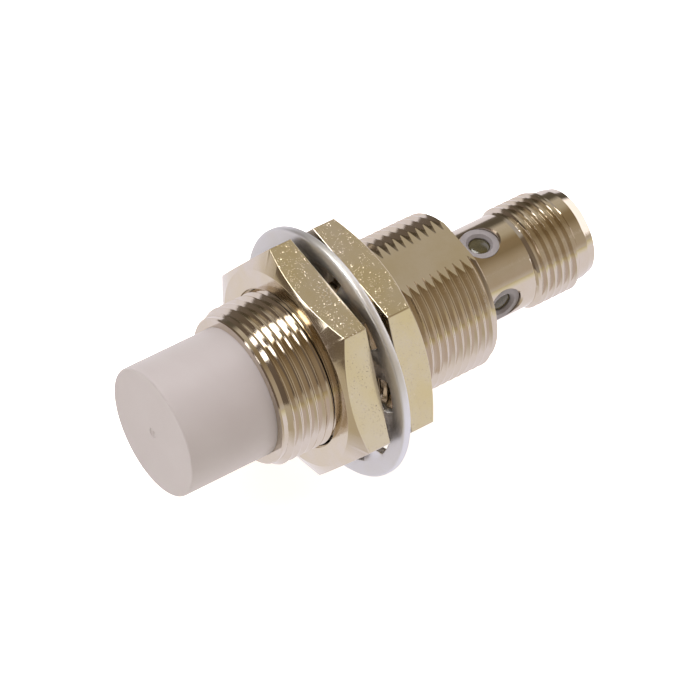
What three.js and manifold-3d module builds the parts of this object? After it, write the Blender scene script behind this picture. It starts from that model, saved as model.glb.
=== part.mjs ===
// M18 inductive proximity sensor with an M12 plug: millimetres, +Z up, axis along Y.
// The origin is the centre of the sensing face, which looks toward -Y; the plug is at +Y.
import * as THREE from "three";
import { mergeVertices } from "three/addons/utils/BufferGeometryUtils.js";
import Module from "manifold-3d";

const wasm = await Module();
wasm.setup();

// ---- driving dimensions ----
const threadRadius = 9; // M18 crest
const threadDepth = 0.6;
const pitch = 1; // M18 x 1 and M12 x 1
const barrelLength = 28;
const capReach = 10.8; // how far the sensing cap stands out of the barrel
const connectorLength = 16;
const plugThreadRadius = 5.9; // M12 crest
const nutHeight = 4;
const nutAcrossFlats = 2 * threadRadius + 6;
const washerThickness = 1;
const nutSpacing = 2.8; // rest distance between the two nuts
const frontNutSetback = 6.2; // barrel front end to the front nut

// ---- clearances and walls ----
const gap = 0.3; // between pieces that touch in the real sensor
const seatWall = 0.7; // barrel wall under the thread at its two seats
const capWall = 0.8;
const faceThickness = 1;
const spotDepth = 0.5;
const flatDepth = 0.84; // flat milled across the crests
const boardHalf = 0.4; // half the circuit board's thickness

// ---- sizes that follow ----
const threadRoot = threadRadius - threadDepth;
const seatRadius = threadRoot - seatWall;
const boreRadius = seatRadius - 0.7;
const capRadius = seatRadius - gap;
const capBore = capRadius - capWall;
const barrelStart = capReach;
const barrelEnd = barrelStart + barrelLength;
const connectorEnd = barrelEnd + connectorLength;
const seatDepth = 7;
const capEnd = barrelStart + seatDepth - 0.4;
const flangeStart = barrelEnd - 5.3;
const flangeEnd = barrelEnd - gap;
const plugRoot = plugThreadRadius - 0.6;
const shankRadius = plugRoot + 0.15;
const plugBore = plugRoot - 0.75;
const shellBore = plugBore - 0.35;
const collarLength = 2.4;
const plugThreadLength = 5.5;
const plugThreadStart = connectorEnd - collarLength - plugThreadLength;
const windowY = barrelEnd + 3.5;
const windowRadius = 1.2;
const windowTurn = -5; // degrees from +Z toward +X
const spotRadius = 2.75;
const spotFloor = shankRadius - spotDepth;
const coreFront = faceThickness + 0.4;
const coreHeight = 5;
const coreRadius = capBore - gap;
const coreBack = coreFront + coreHeight;
const grooveInner = 0.46 * coreRadius;
const grooveOuter = coreRadius - 0.9;
const grooveBottom = coreBack - 1.4;
const boardStart = coreBack + 1.6;
const neckStart = flangeStart - 0.6;
const boardEnd = windowY + 1.3;
const boardWide = capBore - 0.9;
const boardNarrow = shellBore - 0.4;
const carrierStart = boardEnd + 0.7;
const carrierEnd = carrierStart + 2;
const pinOffset = 1.77; // half the side of the square the four contacts stand on
const pinRadius = 0.5;
const pinTip = connectorEnd - 1.6;
const resinStart = boardStart + 0.5;
const resinEnd = flangeStart - gap;
const frontNutY = barrelStart + frontNutSetback;
const rearNutY = frontNutY + nutHeight + nutSpacing;
const washerY = frontNutY + nutHeight + (nutSpacing - washerThickness) / 2;
const washerRadius = nutAcrossFlats / 2 + 2.5;
const toothTip = threadRadius + 0.5;
const toothRoot = washerRadius - 2.1;
const teeth = 10;

// ---- solids ----
// Any three.js geometry as a solid: positions only, welded, with slivers of no area dropped.
function solid(geometry) {
  const bare = new THREE.BufferGeometry();
  bare.setAttribute("position", geometry.getAttribute("position"));
  if (geometry.index) bare.setIndex(geometry.index);
  const welded = mergeVertices(bare, 1e-4);
  const tris = [];
  const index = welded.index.array;
  for (let i = 0; i < index.length; i += 3) {
    const [a, b, c] = [index[i], index[i + 1], index[i + 2]];
    if (a !== b && b !== c && c !== a) tris.push(a, b, c);
  }
  const vertProperties = new Float32Array(welded.attributes.position.array);
  return new wasm.Manifold(
    new wasm.Mesh({ numProp: 3, vertProperties, triVerts: new Uint32Array(tris) }),
  );
}

// A closed [radius, y] profile, listed counter-clockwise, turned about the Y axis.
function turned(profile, segments = 32) {
  const points = [...profile, profile[0]].map(([r, y]) => new THREE.Vector2(r, y));
  return solid(new THREE.LatheGeometry(points, segments));
}

// A round bar along Y from y0 to y1.
function bar(radius, y0, y1, segments = 24) {
  const g = new THREE.CylinderGeometry(radius, radius, y1 - y0, segments);
  return solid(g.translate(0, (y0 + y1) / 2, 0));
}

function block([x0, x1], [y0, y1], [z0, z1]) {
  const g = new THREE.BoxGeometry(x1 - x0, y1 - y0, z1 - z0);
  return solid(g.translate((x0 + x1) / 2, (y0 + y1) / 2, (z0 + z1) / 2));
}

// A solid made along +Y, stood along the radius that is `degrees` from +Z toward +X, at height y.
const radial = (s, degrees, y) =>
  s.rotate([90, 0, 0]).rotate([0, degrees, 0]).translate([0, y, 0]);

// A wire or rod of round section along a smooth path.
function rod(points, radius, steps, sides = 8) {
  const section = new THREE.Shape();
  for (let i = 0; i < sides; i++) {
    const a = (i * 2 * Math.PI) / sides;
    if (i) section.lineTo(radius * Math.cos(a), radius * Math.sin(a));
    else section.moveTo(radius, 0);
  }
  const path = new THREE.CatmullRomCurve3(points.map((p) => new THREE.Vector3(...p)));
  return solid(
    new THREE.ExtrudeGeometry(section, { steps, bevelEnabled: false, extrudePath: path }),
  );
}

// [radius, y] points of a V thread seen in section, from y0 to y1, ending on its root.
function ridges(crest, root, y0, y1) {
  const turns = Math.floor((y1 - y0) / pitch);
  const points = [[root, y0]];
  for (let i = 0; i < turns; i++) {
    points.push([crest, y0 + (i + 0.5) * pitch], [root, y0 + (i + 1) * pitch]);
  }
  return points;
}

const part = new THREE.Group();
part.name = "proximity_sensor";

const looks = {
  cap: [0xb3a6a0, 0.55, 0],
  nickel: [0xb5aa96, 0.28, 1],
  nickelNut: [0xbcb19b, 0.35, 1],
  zinc: [0xaeb4bf, 0.32, 1],
  ferrite: [0x3a3a3d, 0.7, 0],
  bobbin: [0xd8d2c0, 0.5, 0],
  copper: [0xb5673a, 0.35, 1],
  board: [0x1f6b45, 0.5, 0],
  chip: [0x1c1c1e, 0.55, 0],
  ceramic: [0xb08a56, 0.5, 0],
  led: [0xe9e2c6, 0.3, 0],
  lens: [0x7c7a5a, 0.2, 0],
  insert: [0x232326, 0.5, 0],
  gold: [0xd4a843, 0.25, 1],
  rubber: [0x202020, 0.8, 0],
  resin: [0x33302c, 0.6, 0],
};

// Adds one solid to the part as a named mesh.
function add(name, body, look) {
  const { vertProperties, triVerts } = body.getMesh();
  const g = new THREE.BufferGeometry();
  g.setAttribute("position", new THREE.BufferAttribute(new Float32Array(vertProperties), 3));
  g.setIndex(new THREE.BufferAttribute(new Uint32Array(triVerts), 1));
  const flat = g.toNonIndexed();
  flat.computeVertexNormals();
  const [color, roughness, metalness] = looks[look];
  const mesh = new THREE.Mesh(
    flat,
    new THREE.MeshStandardMaterial({ color, roughness, metalness }),
  );
  mesh.name = name;
  part.add(mesh);
}

// ---- sensing head ----
// PBT cup: closed sensing face in front, open behind, pushed into the barrel's front seat.
add(
  "sensing_cap",
  turned(
    [
      [0, 0],
      [capRadius - 0.3, 0],
      [capRadius, 0.3],
      [capRadius, capEnd],
      [capBore, capEnd],
      [capBore, faceThickness + 0.2],
      [capBore - 0.2, faceThickness],
      [0, faceThickness],
    ],
    48,
  ),
  "cap",
);

// Ferrite pot core, its ring groove open to the face, with a hole for each coil lead.
const leadRadius = 0.2;
const leadX = (grooveInner + grooveOuter) / 2;
let core = turned([
  [1, coreFront],
  [grooveInner, coreFront],
  [grooveInner, grooveBottom],
  [grooveOuter, grooveBottom],
  [grooveOuter, coreFront],
  [coreRadius, coreFront],
  [coreRadius, coreBack],
  [1, coreBack],
]);
for (const side of [-1, 1]) {
  const hole = bar(leadRadius + gap, grooveBottom - 1, coreBack + 1, 10);
  core = core.subtract(hole.translate([side * leadX, 0, 0]));
}
add("ferrite_core", core, "ferrite");

// Bobbin and winding sit in the groove.
const bobbinFront = coreFront + gap;
const bobbinBack = grooveBottom - gap;
const bobbinInner = grooveInner + gap;
const flange = 0.35;
add(
  "coil_bobbin",
  turned([
    [bobbinInner, bobbinFront],
    [grooveOuter - gap, bobbinFront],
    [grooveOuter - gap, bobbinFront + flange],
    [bobbinInner + flange, bobbinFront + flange],
    [bobbinInner + flange, bobbinBack - flange],
    [grooveOuter - gap, bobbinBack - flange],
    [grooveOuter - gap, bobbinBack],
    [bobbinInner, bobbinBack],
  ]),
  "bobbin",
);
add(
  "coil_winding",
  turned([
    [bobbinInner + flange + gap, bobbinFront + flange + gap],
    [grooveOuter - gap - 0.1, bobbinFront + flange + gap],
    [grooveOuter - gap - 0.1, bobbinBack - flange - gap],
    [bobbinInner + flange + gap, bobbinBack - flange - gap],
  ]),
  "copper",
);
const padZ = boardHalf + gap + leadRadius;
for (const [side, n] of [
  [-1, 1],
  [1, 2],
]) {
  const x = side * leadX;
  const path = [
    [x, bobbinBack + 0.3, 0],
    [x, coreBack - 0.2, 0],
    [x, boardStart - 0.4, padZ],
    [x, boardStart + 0.6, padZ],
    [x, boardStart + 1.6, padZ],
  ];
  add("coil_lead_" + n, rod(path, leadRadius, 12, 6), "copper");
}

// ---- threaded barrel ----
const threadFront = barrelStart + 0.9;
const threadBack = barrelEnd - 0.1;
let barrel = turned(
  [
    [seatRadius, barrelStart],
    [threadRoot - 0.1, barrelStart],
    [threadRoot + 0.1, barrelStart + 0.2],
    [threadRoot + 0.1, barrelStart + 0.6],
    ...ridges(threadRadius, threadRoot, threadFront, threadBack),
    [threadRoot - 0.1, barrelEnd],
    [seatRadius, barrelEnd],
    [seatRadius, flangeStart - gap],
    [boreRadius, flangeStart - gap],
    [boreRadius, barrelStart + seatDepth],
    [seatRadius, barrelStart + seatDepth],
  ],
  36,
);
const flatZ = threadRadius - flatDepth;
const flatStart = rearNutY + nutHeight / 2;
barrel = barrel.subtract(
  block([-threadRadius, threadRadius], [flatStart, barrelEnd + 1], [flatZ, threadRadius + 1]),
);
add("threaded_barrel", barrel, "nickel");

// ---- circuit board and the parts on it ----
const board = block(
  [-boardWide, boardWide],
  [boardStart, neckStart],
  [-boardHalf, boardHalf],
).add(block([-boardNarrow, boardNarrow], [neckStart - 1, boardEnd], [-boardHalf, boardHalf]));
add("circuit_board", board, "board");

// name, look, y as a share of the wide board, width, length, height, side of the board
const wide = neckStart - boardStart;
const chips = [
  ["supply_capacitor", "ceramic", 0.24, 2.8, 3.5, 1.8, 1],
  ["sensor_ic", "chip", 0.5, 4, 5, 1.5, 1],
  ["output_transistor", "chip", 0.78, 4.4, 2.6, 1.5, 1],
  ["trim_resistor", "chip", 0.3, 1.3, 2, 0.6, -1],
  ["protection_diode", "chip", 0.7, 2.6, 4.3, 2, -1],
];
const chipPocket = (y, w, l, h, side) => {
  const z = [side * boardHalf, side * (boardHalf + gap + h + gap)].sort((a, b) => a - b);
  return block([-w / 2 - gap, w / 2 + gap], [y - l / 2 - gap, y + l / 2 + gap], z);
};
let resin = turned([
  [0, resinStart],
  [capBore - gap, resinStart],
  [capBore - gap, capEnd + gap],
  [boreRadius - gap, capEnd + 2 * gap],
  [boreRadius - gap, resinEnd],
  [0, resinEnd],
]).subtract(
  block(
    [-boardWide - gap, boardWide + gap],
    [resinStart - 1, resinEnd + 1],
    [-boardHalf - gap, boardHalf + gap],
  ),
);
for (const [name, look, share, w, l, h, side] of chips) {
  const y = boardStart + share * wide;
  const z = [side * (boardHalf + gap), side * (boardHalf + gap + h)].sort((a, b) => a - b);
  add(name, block([-w / 2, w / 2], [y - l / 2, y + l / 2], z), look);
  resin = resin.subtract(chipPocket(y, w, l, h, side));
}
for (const side of [-1, 1]) {
  const x = [side * leadX - leadRadius - gap, side * leadX + leadRadius + gap];
  const z = [0, padZ + leadRadius + gap];
  resin = resin.subtract(block(x, [resinStart - 1, boardStart + 1.6 + gap], z));
}
add("potting_resin", resin, "resin");
for (const [side, n] of [
  [1, 1],
  [-1, 2],
]) {
  const z = [side * (boardHalf + gap), side * (boardHalf + gap + 0.8)].sort((a, b) => a - b);
  add("indicator_led_" + n, block([-0.7, 0.7], [windowY - 0.8, windowY + 0.8], z), "led");
}

// ---- plug ----
// One turned shell: flange in the barrel's rear seat, shank with four spot-faced windows, thread.
let shell = turned(
  [
    [shellBore, flangeStart],
    [capRadius, flangeStart],
    [capRadius, flangeStart + 1.6],
    [capRadius - 1, flangeStart + 1.6],
    [capRadius - 1, flangeStart + 3.2],
    [capRadius, flangeStart + 3.2],
    [capRadius, flangeEnd],
    [shankRadius, flangeEnd],
    [shankRadius, plugThreadStart - 0.3],
    ...ridges(plugThreadRadius, plugRoot, plugThreadStart, plugThreadStart + plugThreadLength),
    [plugRoot, connectorEnd - 0.3],
    [plugRoot - 0.3, connectorEnd],
    [plugBore, connectorEnd],
    [plugBore, carrierStart - gap],
    [shellBore, carrierStart - gap],
  ],
  36,
);
for (let i = 0; i < 4; i++) {
  const turn = windowTurn + 90 * i;
  shell = shell
    .subtract(radial(bar(windowRadius + gap, shellBore - 1.5, shankRadius + 1, 20), turn, windowY))
    .subtract(radial(bar(spotRadius, spotFloor, shankRadius + 1, 32), turn, windowY));
}
add("connector_shell", shell, "nickel");

// Light windows: low domes level with the floor of each spot face.
for (let i = 0; i < 4; i++) {
  const dome = turned(
    [
      [0, shellBore + 0.1],
      [windowRadius, shellBore + 0.1],
      [windowRadius, spotFloor - 0.15],
      [windowRadius * 0.7, spotFloor],
      [0, spotFloor + 0.05],
    ],
    20,
  );
  add("indicator_window_" + (i + 1), radial(dome, windowTurn + 90 * i, windowY), "lens");
}

// O-ring in the flange's groove.
const ringMid = (capRadius - 1 + gap + capRadius) / 2;
const ringRadius = 0.35;
const ringProfile = [];
for (let i = 0; i < 10; i++) {
  const a = (i * 2 * Math.PI) / 10;
  ringProfile.push([ringMid + ringRadius * Math.cos(a), flangeStart + 2.4 + ringRadius * Math.sin(a)]);
}
add("shell_seal", turned(ringProfile), "rubber");

// Contact insert: a disc that closes the shell, with the coding key standing along the bore.
const carrierRadius = plugBore - gap;
let carrier = turned([
  [0, carrierStart],
  [carrierRadius, carrierStart],
  [carrierRadius, carrierEnd],
  [0, carrierEnd],
]).add(
  block(
    [-0.6, 0.6],
    [carrierEnd - 0.5, connectorEnd - 1.2],
    [carrierRadius - 0.85, carrierRadius - 0.1],
  ),
);
const corners = [
  [1, 1],
  [1, -1],
  [-1, -1],
  [-1, 1],
];
for (const [sx, sz] of corners) {
  const hole = bar(pinRadius + gap, carrierStart - 1, carrierEnd + 1, 16);
  carrier = carrier.subtract(hole.translate([sx * pinOffset, 0, sz * pinOffset]));
}
add("contact_carrier", carrier, "insert");

// Four contacts: straight pins with a cranked tail that lies over its pad.
const tailZ = boardHalf + gap + pinRadius;
corners.forEach(([sx, sz], i) => {
  const x = sx * pinOffset;
  const tail = rod(
    [
      [x, boardEnd - 1.6, sz * tailZ],
      [x, boardEnd - 0.8, sz * tailZ],
      [x, boardEnd - 0.3, sz * (tailZ + 0.1)],
      [x, boardEnd + 0.2, sz * (pinOffset - 0.1)],
      [x, carrierStart, sz * pinOffset],
      [x, carrierStart + 0.8, sz * pinOffset],
    ],
    pinRadius,
    10,
    10,
  );
  const pin = turned(
    [
      [0, carrierStart + 0.4],
      [pinRadius, carrierStart + 0.4],
      [pinRadius, pinTip - 0.5],
      [pinRadius * 0.6, pinTip - 0.1],
      [0, pinTip],
    ],
    10,
  ).translate([x, 0, sz * pinOffset]);
  add("contact_pin_" + (i + 1), tail.add(pin), "gold");
});

// ---- clamping nuts and lock washer ----
// Hexagon nut chamfered on its outward side only; `out` is -1 when that side looks toward -Y.
function nut(y, out) {
  const r = nutAcrossFlats / Math.sqrt(3);
  const hex = new THREE.CylinderGeometry(r, r, nutHeight, 6, 1, false, Math.PI / 6);
  const washerFace = 0.955 * (nutAcrossFlats / 2);
  const drop = (r - washerFace) * Math.tan(Math.PI / 6);
  const cone = turned(
    [
      [0, -nutHeight / 2],
      [r + 1, -nutHeight / 2],
      [r + 1, nutHeight / 2 - drop - Math.tan(Math.PI / 6)],
      [washerFace, nutHeight / 2],
      [0, nutHeight / 2],
    ],
    48,
  );
  const inside = threadRadius + gap;
  const bore = turned(
    [
      [0, -nutHeight / 2 - 1],
      [inside + 0.4, -nutHeight / 2 - 1],
      [inside + 0.4, -nutHeight / 2],
      ...ridges(inside, inside + 0.4, -nutHeight / 2, nutHeight / 2),
      [inside + 0.4, nutHeight / 2 + 1],
      [0, nutHeight / 2 + 1],
    ],
    36,
  );
  const body = solid(hex).intersect(cone).subtract(bore);
  return body.rotate([out < 0 ? 180 : 0, 0, 0]).translate([0, y + nutHeight / 2, 0]);
}
add("front_nut", nut(frontNutY, -1), "nickelNut");
add("rear_nut", nut(rearNutY, 1), "nickelNut");

// Lock washer: a flat ring with inward teeth, each twisted about its own radius.
const edge = 0.15;
const back = washerY + washerThickness;
let washer = turned(
  [
    [toothRoot, washerY],
    [washerRadius - edge, washerY],
    [washerRadius, washerY + edge],
    [washerRadius, back - edge],
    [washerRadius - edge, back],
    [toothRoot, back],
  ],
  60,
);
const halfRoot = Math.PI * toothRoot * 0.36 * (2 / teeth);
const outline = new THREE.Shape([
  new THREE.Vector2(-halfRoot, -(toothRoot + 0.35)),
  new THREE.Vector2(halfRoot, -(toothRoot + 0.35)),
  new THREE.Vector2(halfRoot * 0.72, -toothTip),
  new THREE.Vector2(-halfRoot * 0.72, -toothTip),
]);
const toothThickness = 0.8 * washerThickness;
const toothShape = new THREE.ExtrudeGeometry(outline, {
  depth: toothThickness,
  bevelEnabled: false,
});
const tooth = solid(toothShape.translate(0, 0, -toothThickness / 2)).rotate([90, 0, 0]);
for (let i = 0; i < teeth; i++) {
  washer = washer.add(
    tooth
      .rotate([0, 0, 11])
      .rotate([0, ((i + 0.5) * 360) / teeth, 0])
      .translate([0, washerY + washerThickness / 2, 0]),
  );
}
add("toothed_washer", washer, "zinc");

export default part;
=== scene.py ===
import math

import bmesh
import bpy
from mathutils import Euler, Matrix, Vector


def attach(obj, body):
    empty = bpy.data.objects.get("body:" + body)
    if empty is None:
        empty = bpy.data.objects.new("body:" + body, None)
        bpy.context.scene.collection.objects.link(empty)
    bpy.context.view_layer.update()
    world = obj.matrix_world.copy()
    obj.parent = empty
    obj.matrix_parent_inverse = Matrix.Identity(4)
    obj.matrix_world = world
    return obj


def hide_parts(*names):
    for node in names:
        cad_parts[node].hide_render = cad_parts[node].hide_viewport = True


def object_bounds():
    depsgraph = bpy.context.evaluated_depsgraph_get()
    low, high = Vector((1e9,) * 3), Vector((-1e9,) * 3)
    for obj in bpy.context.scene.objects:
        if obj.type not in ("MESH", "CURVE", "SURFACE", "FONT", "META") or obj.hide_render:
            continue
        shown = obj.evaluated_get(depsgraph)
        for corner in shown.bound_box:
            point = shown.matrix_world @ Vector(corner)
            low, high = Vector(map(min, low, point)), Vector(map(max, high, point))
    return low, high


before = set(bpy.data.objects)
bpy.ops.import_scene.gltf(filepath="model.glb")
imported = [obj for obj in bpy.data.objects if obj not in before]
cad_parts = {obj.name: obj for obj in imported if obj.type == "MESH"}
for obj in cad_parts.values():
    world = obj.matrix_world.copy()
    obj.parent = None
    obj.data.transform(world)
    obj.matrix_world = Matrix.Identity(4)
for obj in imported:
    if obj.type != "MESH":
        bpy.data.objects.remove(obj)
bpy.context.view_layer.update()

mm = 0.001
# points closer than this, in metres, count as one: while cutting, on tools, on threads and on finished meshes
sameSpot = {"cut": 1e-9, "tool": 1e-8, "thread": 2e-7, "mesh": 1e-7}
scene = bpy.context.scene
scene.view_settings.view_transform = "Standard"


def hexLinear(text, alpha=1.0):  # "#D4C9B8" to linear RGBA
    parts = [int(text[i:i + 2], 16) / 255 for i in (1, 3, 5)]
    return tuple(c / 12.92 if c <= 0.04045 else ((c + 0.055) / 1.055) ** 2.4 for c in parts) + (alpha,)


# adds one node with its settings, its values and links, and the stops of a ramp
def addNode(tree, kind, inputs=None, stops=(), **settings):
    node = tree.nodes.new(kind)
    for name, value in settings.items():
        setattr(node, name, value)
    for name, value in (inputs or {}).items():
        if isinstance(value, bpy.types.NodeSocket):
            tree.links.new(value, node.inputs[name])
        else:
            node.inputs[name].default_value = value
    for _ in stops[2:]:  # a ramp starts with two stops
        node.color_ramp.elements.new(0.5)
    for i, (position, colour) in enumerate(stops):
        node.color_ramp.elements[i].position = position
        node.color_ramp.elements[i].color = colour
    return node


def around(radius, angle, y):  # angle in radians from +Z toward +X
    return Vector((radius * math.sin(angle), y, radius * math.cos(angle))) * mm


def markFlats(mesh, directions):  # ground flats keep a crisp outline against the turned skin
    flat = [any(p.normal.dot(d) > 0.99995 for d in directions) for p in mesh.polygons]
    owners = {}
    for polygon in mesh.polygons:
        for key in polygon.edge_keys:
            owners.setdefault(key, set()).add(flat[polygon.index])
    for edge in mesh.edges:
        if len(owners[edge.key]) == 2:
            edge.use_edge_sharp = True


def rightWayOut(bm):  # all faces of a closed mesh look outward
    bmesh.ops.recalc_face_normals(bm, faces=bm.faces)
    if bm.calc_volume(signed=True) < 0:
        bmesh.ops.reverse_faces(bm, faces=bm.faces)


def finishMesh(name, bm, material, body, replaced=(), sharp=30, weighted=False, flats=()):
    bmesh.ops.remove_doubles(bm, verts=bm.verts, dist=sameSpot["mesh"])
    rightWayOut(bm)
    mesh = bpy.data.meshes.new(name)
    bm.to_mesh(mesh)
    bm.free()
    mesh.name = name
    mesh.materials.clear()
    mesh.materials.append(material)
    for polygon in mesh.polygons:
        polygon.use_smooth = True
        polygon.material_index = 0
    mesh.set_sharp_from_angle(angle=math.radians(sharp))
    markFlats(mesh, flats)
    piece = bpy.data.objects.new(name, mesh)
    scene.collection.objects.link(piece)
    if weighted:  # flats stay flat beside their small rounded edges
        fix = piece.modifiers.new("flatShading", "WEIGHTED_NORMAL")
        fix.keep_sharp = True
        fix.weight = 90  # large faces lead
    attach(piece, body)
    if replaced:
        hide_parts(*replaced)
    return piece


# cuts closed meshes from a closed mesh, or joins them to it, one after another
def booleanMesh(bm, cutters, operation="DIFFERENCE", solver="MANIFOLD"):
    mesh = bpy.data.meshes.new("cutWork")
    bm.to_mesh(mesh)
    bm.free()
    for cutter in cutters:
        bmesh.ops.remove_doubles(cutter, verts=cutter.verts, dist=sameSpot["tool"])
        rightWayOut(cutter)
        toolMesh = bpy.data.meshes.new("cutTool")
        cutter.to_mesh(toolMesh)
        cutter.free()
        work = bpy.data.objects.new("cutWork", mesh)
        tool = bpy.data.objects.new("cutTool", toolMesh)
        scene.collection.objects.link(work)
        scene.collection.objects.link(tool)
        cut = work.modifiers.new("cut", "BOOLEAN")
        cut.operation = operation
        cut.solver = solver
        cut.object = tool
        bpy.context.view_layer.update()
        ready = work.evaluated_get(bpy.context.evaluated_depsgraph_get())
        mesh = bpy.data.meshes.new_from_object(ready)
        bpy.data.objects.remove(work)
        bpy.data.objects.remove(tool)
    out = bmesh.new()
    out.from_mesh(mesh)
    return out


def turnedSolid(profile, columns=128, centre=(0, 0)):  # closed [radius, y] profile about the axis
    bm = bmesh.new()
    rings = []
    for i in range(columns):
        angle = 2 * math.pi * i / columns
        ring = []
        for radius, y in profile:
            point = around(radius, angle, y) + Vector((centre[0], 0, centre[1])) * mm
            ring.append(bm.verts.new(point))
        rings.append(ring)
    count = len(profile)
    for i in range(columns):
        a, b = rings[i], rings[(i + 1) % columns]
        for j in range(count):
            k = (j + 1) % count
            if profile[j][0] == 0 and profile[k][0] == 0:
                continue
            bm.faces.new((a[j], b[j], b[k], a[k]))
    bmesh.ops.remove_doubles(bm, verts=bm.verts, dist=sameSpot["tool"])
    bmesh.ops.dissolve_degenerate(bm, edges=bm.edges, dist=sameSpot["cut"])
    bmesh.ops.recalc_face_normals(bm, faces=bm.faces)
    return bm


def roundedProfile(corners, steps=4):  # corners are (radius, y, fillet); returns plain [radius, y] points
    points = []
    for i, (radius, y, fillet) in enumerate(corners):
        here = Vector((radius, y))
        if fillet == 0:
            points.append((radius, y))
            continue
        before = Vector(corners[i - 1][:2]) - here
        after = Vector(corners[(i + 1) % len(corners)][:2]) - here
        half = before.angle(after) / 2
        reach = min(fillet / math.tan(half), 0.49 * before.length, 0.49 * after.length)  # under half an edge
        middle = here + (before.normalized() + after.normalized()).normalized() * (
            reach / math.cos(half))
        arm = here + before.normalized() * reach - middle
        lastArm = here + after.normalized() * reach - middle
        turn = arm.angle_signed(lastArm)
        for step in range(steps + 1):
            angle = -turn * step / steps
            across, along = math.cos(angle), math.sin(angle)
            points.append((middle.x + arm.x * across - arm.y * along,
                           middle.y + arm.x * along + arm.y * across))
    return points


def limitAt(stops, y):  # straight-line value of (y, radius) stops at y
    if y <= stops[0][0]:
        return stops[0][1]
    for (y0, r0), (y1, r1) in zip(stops, stops[1:]):
        if y <= y1:
            return r0 + (r1 - r0) * (y - y0) / (y1 - y0)
    return stops[-1][1]


# one pitch of the barrel's rolled thread: (share of the pitch, share of the depth)
threadSection = [(0.0, 0.0), (0.06, 0.0), (0.09, 0.05), (0.43, 0.95), (0.455, 1.0), (0.5, 1.0),
                 (0.545, 1.0), (0.57, 0.95), (0.91, 0.05), (0.94, 0.0)]
# the plug's shallower thread, with a wider round root
plugSection = [(0.0, 0.0), (0.19, 0.0), (0.205, 0.03), (0.365, 0.97), (0.38, 1.0), (0.5, 1.0),
               (0.62, 1.0), (0.635, 0.97), (0.795, 0.03), (0.81, 0.0)]


# a right-hand helical skin from size["start"] to size["end"], held between the low and high limits,
# then closed by flat ends, or joined to a plain bore
def threadedRod(size, columns, bore=None):
    bm = bmesh.new()
    section = size.get("section", threadSection)
    rows = len(section)
    pitch, root, crest = size["pitch"], size["root"], size["crest"]
    spare = 2  # turns past each end, cut off below
    first = math.floor((size["start"] - size["phase"]) / pitch) - spare
    turns = math.ceil((size["end"] - size["start"]) / pitch) + 2 * spare
    grid = []
    for i in range(columns):
        column = []
        for j in range(turns * rows):
            share, height = section[j % rows]
            y = size["phase"] + pitch * (first + j // rows + share + i / columns)
            column.append(bm.verts.new(around(root + (crest - root) * height,
                                              2 * math.pi * i / columns, y)))
        grid.append(column)
    for i in range(columns):
        after, shift = (grid[0], rows) if i == columns - 1 else (grid[i + 1], 0)
        for j in range(turns * rows - 1 - shift):
            bm.faces.new((grid[i][j], after[j + shift], after[j + 1 + shift], grid[i][j + 1]))
    for y, side in ((size["start"], -1), (size["end"], 1)):
        geometry = bm.verts[:] + bm.edges[:] + bm.faces[:]
        bmesh.ops.bisect_plane(bm, geom=geometry, dist=sameSpot["cut"], plane_co=(0, y * mm, 0),
                               plane_no=(0, side, 0), clear_outer=True)
    for y in sorted({stop[0] for stop in size["low"] + size["high"]}):
        if size["start"] < y < size["end"]:
            geometry = bm.verts[:] + bm.edges[:] + bm.faces[:]
            bmesh.ops.bisect_plane(bm, geom=geometry, dist=sameSpot["cut"], plane_co=(0, y * mm, 0),
                                   plane_no=(0, 1, 0))
    for vert in bm.verts:
        radius = math.hypot(vert.co.x, vert.co.z) / mm
        y = vert.co.y / mm
        wanted = min(max(radius, limitAt(size["low"], y)), limitAt(size["high"], y))
        vert.co.x *= wanted / radius
        vert.co.z *= wanted / radius
    bmesh.ops.remove_doubles(bm, verts=bm.verts, dist=sameSpot["thread"])
    rims = [e for e in bm.edges if e.is_boundary]
    if bore is None:
        bmesh.ops.holes_fill(bm, edges=rims, sides=0)
    else:
        made = bmesh.ops.extrude_edge_only(bm, edges=rims)["geom"]
        for vert in [g for g in made if isinstance(g, bmesh.types.BMVert)]:
            radius = math.hypot(vert.co.x, vert.co.z) / mm
            vert.co.x *= bore / radius
            vert.co.z *= bore / radius
        inner = [g for g in made if isinstance(g, bmesh.types.BMEdge)]
        bmesh.ops.bridge_loops(bm, edges=inner)
    bmesh.ops.recalc_face_normals(bm, faces=bm.faces)
    return bm


def boxSolid(least, most):  # a block between two corners
    bm = bmesh.new()
    bmesh.ops.create_cube(bm, size=1)
    for vert in bm.verts:
        vert.co = Vector([(a + b) / 2 + v * (b - a) for a, b, v in zip(least, most, vert.co)]) * mm
    return bm


def radialRod(profile, degrees, y, columns=48):  # a turned solid whose own axis stands along a radius
    bm = turnedSolid(profile, columns)
    turn = math.radians(degrees)
    out = Vector((math.sin(turn), 0, math.cos(turn)))
    side = Vector((math.cos(turn), 0, -math.sin(turn)))
    for vert in bm.verts:
        vert.co = side * vert.co.x + out * vert.co.y + Vector((0, vert.co.z + y * mm, 0))
    bmesh.ops.recalc_face_normals(bm, faces=bm.faces)
    return bm


def startMaterial(name):  # the shader, and the place on the piece in millimetres
    material = bpy.data.materials.new(name)
    material.use_nodes = True
    tree = material.node_tree
    tree.nodes.clear()
    out = addNode(tree, "ShaderNodeOutputMaterial")
    shader = addNode(tree, "ShaderNodeBsdfPrincipled")
    tree.links.new(shader.outputs[0], out.inputs["Surface"])
    spot = addNode(tree, "ShaderNodeTexCoord").outputs["Object"]
    inMm = addNode(tree, "ShaderNodeVectorMath", {0: spot, 3: 1000.0}, operation="SCALE").outputs[0]
    return material, tree, shader, inMm


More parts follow.
